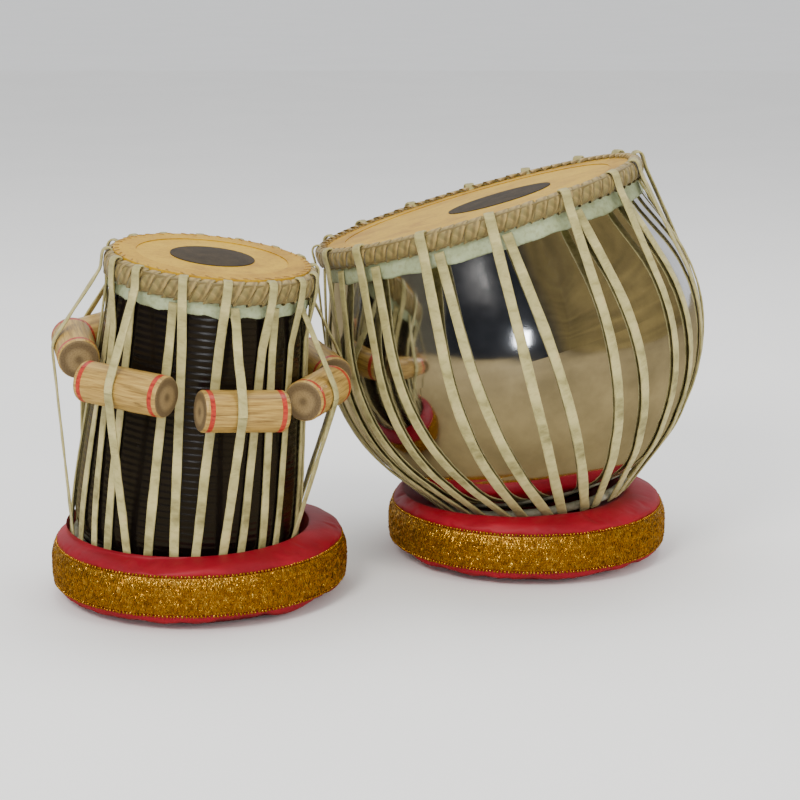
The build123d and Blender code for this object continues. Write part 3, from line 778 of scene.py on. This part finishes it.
def turned_dowel(number):
    """A dowel turned from wood, with a band of red paint near each end."""
    node = f"tuning_dowel_{number}"
    co = np.array([v.co for v in nodes[node].data.vertices])
    way = np.linalg.eigh(np.cov((co - co.mean(0)).T))[1][:, -1]
    along = (co - co.mean(0)) @ way
    length = along.max() - along.min()
    middle = co.mean(0) + way * (along.max() + along.min()) / 2
    across = unit(np.cross(way, SMALL.up))
    lift = np.cross(way, across)
    half = length / 2 / MM
    stations = DOWEL_END + DOWEL_BAND + [(half * 0.7, 1.0), (half, 1.0)]
    stations = stations + [(2 * half - x, s) for x, s in stations[-2::-1]]
    corners = 40
    angle = np.arange(corners) * 2 * pi / corners
    oval = 0.006 * np.cos(2 * angle + rng.uniform(0, 6))
    wobble = 1 + oval + 0.004 * np.cos(3 * angle + rng.uniform(0, 6))
    rows = []
    for x, share in stations:
        dent = 1 + (0.004 * rng.normal(0, 1, corners) if 2 < x < 2 * half - 2 else 0)
        ring = (DOWEL_RADIUS * share * wobble * dent)[:, None]
        section = across * np.cos(angle)[:, None] * ring + lift * np.sin(angle)[:, None] * ring
        rows.append(middle + way * (x * MM - length / 2) + section)
    p = np.array(rows)
    shape = Shape()
    for i in range(len(stations) - 1):
        x0, x1 = stations[i][0], stations[i + 1][0]
        from_end = min((x0 + x1) / 2, 2 * half - (x0 + x1) / 2)
        if from_end < 0.4:
            kind = SAWN
            uv = np.stack([(p[i:i + 2] - middle) @ across, (p[i:i + 2] - middle) @ lift], 2)
        else:
            kind = PAINTED if 3.0 < from_end < 7.4 else WOODEN
            run = np.array([x0, x1])[:, None] * MM + number * 0.31
            uv = np.stack(np.broadcast_arrays(run, (angle * DOWEL_RADIUS)[None]), 2)
        shape.grid(p[i:i + 2], uv, wrap=True, kind=kind)
    piece = shape.build(f"{node}_turned", [WOOD.m, RED.m, END.m])
    finish_piece(piece, f"dowel_{number}", "dowel_wood", node)


for number in DOWEL_NUMBERS:
    turned_dowel(number)


# ------------------------------------------------------------------ ring cushions
# sizes in mm: OUTER is a cushion's outer radius, BEAD_HEIGHTS the trim's two edges
OUTER, WIDTH, HEIGHT, CORNER = 114.4, 56.2, 52.0, 21.0
BEAD_HEIGHTS = (13.3, 43.2)
SQUARENESS = 2.9

# the room that the small drum turns in: depths below its head, and radii, in mm
ROOM_DEPTHS = [150, 196, 215, 229, 233, 236, 240, 245.6, 246.5, 300]
ROOM_RADII = [97.8, 97.8, 94.0, 91.1, 90.0, 87.6, 78, 66, 0, 0]


def cushion_profile(steps, inset):
    """(radius, height) round a cushion's section in mm, from its inner side over the top."""
    middle, half_wide, half_high = OUTER - WIDTH / 2, WIDTH / 2 - inset, HEIGHT / 2 - inset
    out = []
    for k in range(steps):
        a = 2 * pi * k / steps
        x = np.sign(-cos(a)) * abs(cos(a)) ** (2 / SQUARENESS) * half_wide
        z = np.sign(sin(a)) * abs(sin(a)) ** (2 / SQUARENESS) * half_high
        out.append((middle + x, HEIGHT / 2 + z))
    return np.array(out)


def clear_of_small(p):
    """Pushes points out of the room that the small drum turns in."""
    radius, azimuth, depth = SMALL.local(p)
    room = np.interp(depth, np.array(ROOM_DEPTHS) * MM, np.array(ROOM_RADII) * MM)
    return np.where((radius < room)[:, None], SMALL.points(room, azimuth, depth), p)


def clear_of_large(p):
    """Pushes points out of the ball that the large drum tilts in."""
    v = p - BELLY
    length = np.linalg.norm(v, axis=1, keepdims=True)
    ball = 161.3 * MM
    return np.where(length < ball, BELLY + v / length * ball, p)


def inflate(piece, pinned):
    """Lets pressure swell the cover between its pinned seams, then keeps the result."""
    group = piece.vertex_groups.new(name="pin")
    group.add(pinned, 1.0, "REPLACE")
    cloth = piece.modifiers.new("Cloth", "CLOTH")
    settings = cloth.settings
    settings.quality = 5
    settings.mass = 0.2
    settings.tension_stiffness = settings.compression_stiffness = 18
    settings.shear_stiffness = 8
    settings.bending_stiffness = 0.4
    settings.use_pressure = True
    settings.uniform_pressure_force = 4.0
    settings.shrink_min = -0.035
    settings.vertex_group_mass = "pin"
    settings.effector_weights.gravity = 0.0
    scene = bpy.context.scene
    for step in range(1, 21):
        scene.frame_set(step)
    done = piece.evaluated_get(bpy.context.evaluated_depsgraph_get())
    moved = np.array([v.co for v in done.data.vertices])
    piece.modifiers.remove(cloth)
    scene.frame_set(1)
    return moved


def cushion(name, centre, clear, body):
    """A cushion's satin cover, swollen between its seams and kept out of the drum's room."""
    around, steps = 300, 56
    r, z = (cushion_profile(steps, 0.8) * MM).T
    azimuth = np.linspace(0, 2 * pi, around, endpoint=False)[:, None]
    ring = np.broadcast_arrays(np.sin(azimuth) * r, -np.cos(azimuth) * r, z)
    p = np.stack(ring, 2) + centre
    run_step, side_step = 2.4 * MM, 3.0 * MM
    run, side = np.arange(around + 1)[:, None] * run_step, np.arange(steps) * side_step
    uv = np.stack(np.broadcast_arrays(run, side), 2)
    shape = Shape()
    shape.grid(p, uv[:-1], wrap=True)
    last = (around - 1) * steps
    for j in range(steps):
        k = (j + 1) % steps
        near, far = uv[-2, j], uv[-1, j]
        shape.faces.append([last + j, last + k, k, j])
        shape.uvs.append([near, near + [0, side_step], far + [0, side_step], far])
        shape.kinds.append(0)
    piece = shape.build(f"{name}_satin", [SATIN.m])
    rest = p.reshape(-1, 3)
    low, high = (height * MM for height in BEAD_HEIGHTS)
    outside = np.linalg.norm((rest - centre)[:, :2], axis=1) > 100 * MM
    band = (rest[:, 2] > low) & (rest[:, 2] < high) & outside
    pins = np.nonzero(band | (rest[:, 2] < 1.2 * MM))[0].tolist()
    swell = inflate(piece, pins) - rest
    size = np.linalg.norm(swell, axis=1, keepdims=True)
    now = rest + swell * np.minimum(1, 4.0 * MM / np.maximum(size, 1e-9))
    now[:, 2] = np.maximum(now[:, 2], 0.2 * MM)
    now = clear(now)
    piece.data.vertices.foreach_set("co", now.ravel())
    piece.data.update()
    smooth = piece.modifiers.new("Smooth", "SUBSURF")
    smooth.levels = smooth.render_levels = 1
    finish_piece(piece, body, "crimson_satin", f"{name}_cover", f"{name}_filling")


def trim_surface(height, proud):
    """The trim band's radius and its outward lean at a height, in mm."""
    low, high = CORNER, HEIGHT - CORNER
    rise = height - min(max(height, low), high)
    r = CORNER + proud
    return OUTER - CORNER + sqrt(max(r * r - rise * rise, 0)), rise / r


def on_trim(centre, azimuth, reach, height):
    """A point round a cushion, from a reach and a height in mm."""
    return centre + np.array([sin(azimuth) * reach, -cos(azimuth) * reach, height]) * MM


def beads(name, centre, body):
    """Two rows of small beads along the trim's edges."""
    rows, corners = 6, 8
    arc = [(sin(a), cos(a)) for a in np.linspace(0, pi, rows)]
    turn = np.arange(corners) * 2 * pi / corners
    ball = np.array([[(s * cos(b), s * sin(b), c) for b in turn] for s, c in arc])
    shape = Shape()
    for height in BEAD_HEIGHTS:
        reach = trim_surface(height, 1.0)[0]
        count = int(2 * pi * reach / 2.9)
        for k in range(count):
            a = 2 * pi * (k + rng.normal(0, 0.06)) / count
            size = 1.15 * MM * (1 + rng.normal(0, 0.08))
            spot = on_trim(centre, a, reach, height + rng.normal(0, 0.12))
            shape.grid(spot + ball * size, np.full((rows, corners, 2), (a, 0)), wrap=True)
    finish_piece(shape.build(f"{name}_beads", [FOIL.m]), body, "gold_beads", f"{name}_trim_edges")


SPANGLE_ROWS, LOWEST_SPANGLE, HIGHEST_SPANGLE = 12, 15.7, 40.8
SPANGLE = ((-1, -0.6), (-0.6, -1), (0.6, -1), (1, -0.6), (1, 0.6), (0.6, 1), (-0.6, 1), (-1, 0.6))


def spangles(name, centre, body):
    """Rows of small domed metal spangles sewn close together over the woven band."""
    shape = Shape()
    corners = len(SPANGLE)
    for row in range(SPANGLE_ROWS):
        share = row / (SPANGLE_ROWS - 1)
        height = LOWEST_SPANGLE + share * (HIGHEST_SPANGLE - LOWEST_SPANGLE)
        reach, lean = trim_surface(height, 1.15)
        level = sqrt(max(0, 1 - lean * lean))
        count = int(2 * pi * reach / 2.35)
        for k in range(count):
            a = 2 * pi * (k + 0.5 * (row % 2) + rng.normal(0, 0.12)) / count
            out = np.array([sin(a) * level, -cos(a) * level, lean])
            side = np.array([cos(a), sin(a), 0.0])
            up = np.cross(side, out)
            tip, roll = rng.normal(0, 0.20), rng.normal(0, 0.24)
            side = unit(side + out * roll)
            up = unit(up + out * tip)
            spot = on_trim(centre, a, reach, height + rng.normal(0, 0.2))
            half_wide = 0.85 * MM * (1 + rng.normal(0, 0.12))
            half_high = 1.25 * MM * (1 + rng.normal(0, 0.12))
            rim = [spot + side * half_wide * x + up * half_high * y for x, y in SPANGLE]
            shape.points.append(np.array(rim + [spot + out * 0.25 * MM]))
            base = shape.count
            for j in range(corners):
                shape.faces.append([base + j, base + (j + 1) % corners, base + corners])
                shape.uvs.append([(a, j), (a, j + 1), (a, 0)])
                shape.kinds.append(0)
            shape.count += corners + 1
    finish_piece(shape.build(f"{name}_spangles", [FOIL.m], smooth=False), body, "gold_trim")


for name, spot, clear, body in (("dayan_cushion", (-146.8, -71.0), clear_of_small, "dayan_ring"),
                                ("bayan_cushion", (117.0, 35.6), clear_of_large, "bayan_ring")):
    centre = np.array([*spot, 0.0]) * MM
    cushion(name, centre, clear, body)
    beads(name, centre, body)
    spangles(name, centre, body)


# ------------------------------------------------------------------ floor, light and camera
def plane(name, corners, colour, dim=1.0, bright=1.03, scale=3, stretch=(1, 1, 1)):
    """A flat board whose colour wavers between two brightnesses.

    Its corners are left, right and then left, right of the far edge.
    """
    shape = Shape()
    p = np.array(corners, float).reshape(2, 2, 3)
    shape.grid(p, p[:, :, :2])
    f = Finish(name, Roughness=0.9)
    low, high = (tuple(min(1, c * k) for c in colour) + (1,) for k in (dim, bright))
    f.colour(f.ramp(f.noise(scale, stretch), [(0.3, low), (0.7, high)]))
    made = shape.build(name, [f.m], smooth=False)
    return made


plane("floor", [(-40, -4, 0), (40, -4, 0), (-40, 90, 0), (40, 90, 0)], (0.94, 0.94, 0.93))


def reflected(name, corners, colour, *look):
    """A coloured board round the studio that only shows in polished metal."""
    board = plane(name, corners, colour, *look)
    board.visible_camera = board.visible_diffuse = board.visible_shadow = False
    board.visible_transmission = board.visible_volume_scatter = False


def wall(name, y, left, right, high, colour, *look):
    """An upright reflected board across the front; left and right are its (bottom, top) ends."""
    corners = [(left[0], y, 0), (right[0], y, 0), (left[1], y, high), (right[1], y, high)]
    reflected(name, corners, colour, *look)


PANELLING = (0.55, 1.5, 1.6, (0.25, 0.25, 5.0))
DARK, GOLD = (0.016, 0.019, 0.026), (0.20, 0.145, 0.045)
FRONT, BACK, FADE_STEPS, FADE_WIDTH = -3.2, 2.0, 7, 0.09
GOLD_FRONT = FRONT - 0.05

wall("dark_wall", FRONT, (-4, -4), (1.3, 0.3), 3.4, DARK)
for step in range(FADE_STEPS):
    share = (step + 1) / (FADE_STEPS + 1)
    left, right = 1.3 + FADE_WIDTH * step, 1.3 + FADE_WIDTH * (step + 1)
    shade = tuple(d + (g - d) * share for d, g in zip(DARK, GOLD))
    wall(f"fading_wall_{step + 1}", FRONT, (left, left - 1.0), (right, right - 1.0), 3.4,
         shade, *PANELLING)
wall("gold_panel", GOLD_FRONT, (0.3, 0.3), (2.2, 2.2), 3.5, GOLD, *PANELLING)
reflected("dark_ceiling", [(-4, FRONT, 3.4), (0.4, FRONT, 3.4), (-4, 1.0, 3.2), (-0.4, 1.0, 3.2)],
          (0.022, 0.026, 0.024))
reflected("left_wall", [(-3.2, BACK, 0), (-3.2, FRONT, 0), (-3.2, BACK, 3.4), (-3.2, FRONT, 3.4)],
          (0.10, 0.09, 0.06))
reflected("gold_wall", [(1.9, GOLD_FRONT, 0.0), (2.8, BACK, 0.0),
                        (1.9, GOLD_FRONT, 3.5), (2.8, BACK, 3.5)], GOLD, *PANELLING)
reflected("gold_ceiling", [(2.2, GOLD_FRONT, 3.5), (2.8, BACK, 3.5),
                           (0.0, GOLD_FRONT, 3.6), (-0.6, BACK, 3.6)],
          (0.13, 0.105, 0.04), 0.5, 1.6, 2)
reflected("tan_floor", [(-6, -4, 0.0006), (6, -4, 0.0006), (-6, 6, 0.0006), (6, 6, 0.0006)],
          (0.28, 0.21, 0.085), 0.85, 1.12)


def softbox(name, at, aim, size, watts, colour=(1, 1, 1)):
    """A rectangular lamp at a place, turned to a point."""
    light = bpy.data.lights.new(name, "AREA")
    light.shape = "RECTANGLE"
    light.size, light.size_y = size
    light.energy = watts
    light.color = colour
    lamp = bpy.data.objects.new(name, light)
    bpy.context.scene.collection.objects.link(lamp)
    lamp.location = at
    lamp.rotation_euler = (Vector(aim) - Vector(at)).to_track_quat("-Z", "Y").to_euler()
    return lamp


softbox("key", (-0.9, -1.9, 1.9), (0, 0, 0.15), (0.7, 0.7), 42, (1, 0.97, 0.92))
softbox("fill", (1.7, -1.4, 1.2), (0, 0, 0.15), (0.9, 0.9), 14, (1, 0.96, 0.9)).visible_glossy = False
softbox("top", (0.1, 0.6, 2.2), (0, 0, 0.1), (1.8, 1.2), 30)
softbox("window", (0.16, -2.35, 0.62), (0.1, 0, 0.2), (0.34, 0.34), 5, (0.92, 0.96, 1))

world = bpy.data.worlds.new("pale_room")
bpy.context.scene.world = world
world.use_nodes = True
background = world.node_tree.nodes["Background"]
background.inputs["Color"].default_value = (0.93, 0.94, 0.96, 1)
background.inputs["Strength"].default_value = 1.0

camera_data = bpy.data.cameras.new("camera")
camera_data.lens = 92.5
camera_data.sensor_width = 36
camera = bpy.data.objects.new("camera", camera_data)
bpy.context.scene.collection.objects.link(camera)
camera.location = (0.011, -1.628, 0.5087)
camera.rotation_euler = (radians(90 - 12.92), 0, 0)
bpy.context.scene.camera = camera
